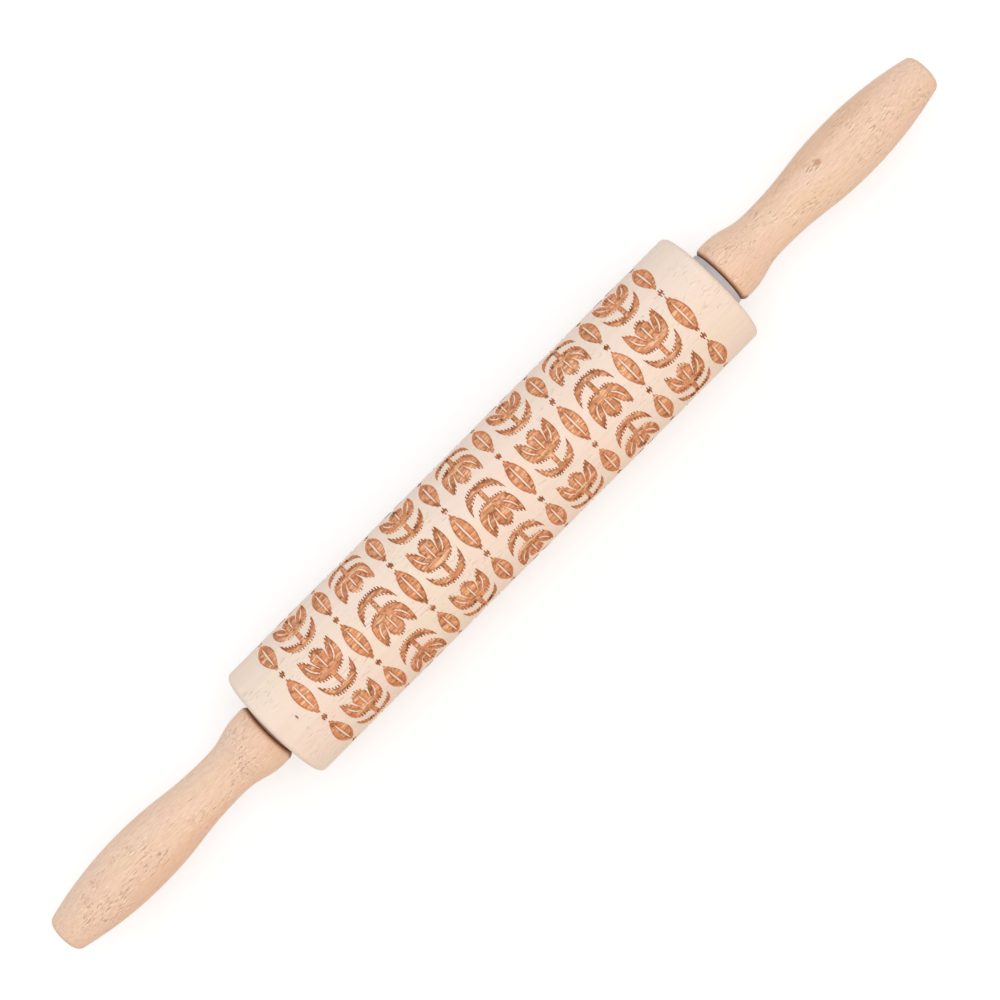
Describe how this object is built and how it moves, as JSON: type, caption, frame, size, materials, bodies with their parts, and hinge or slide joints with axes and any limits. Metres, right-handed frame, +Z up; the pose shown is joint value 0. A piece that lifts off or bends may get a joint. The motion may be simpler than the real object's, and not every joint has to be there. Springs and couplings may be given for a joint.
{
  "type": "rolling pin",
  "caption": "Embossing rolling pin: an engraved beech roller turns and floats on nylon bushes round a steel axle between turned beech handles.",
  "frame": {"origin": "middle of the pin's length, on the surface that the roller rests on", "axes": "+X along the axle towards the right handle, +Z up"},
  "size_m": [0.435, 0.048, 0.048],
  "materials": {
    "roller_beech": "fine-sanded pale beech, laser-browned in the recesses",
    "handle_beech": "fine-sanded pinkish beech with short dark flecks",
    "bush_nylon": "off-white satin nylon",
    "axle_steel": "drawn bright steel rod"
  },
  "bodies": {
    "grip": {"axle": "axle_steel", "left_handle": "handle_beech", "right_handle": "handle_beech"},
    "bushes": {"left_bush": "bush_nylon", "right_bush": "bush_nylon"},
    "roller": {"roller": "roller_beech"}
  },
  "joints": [
    {"name": "roller_spin", "type": "hinge", "parent": "grip", "child": "bushes", "pos_m": [0, 0, 0.024], "axis": [1, 0, 0], "continuous": true},
    {"name": "roller_float", "type": "slide", "parent": "bushes", "child": "roller", "axis": [1, 0, 0], "range_m": [-0.0022, 0.0037]}
  ]
}
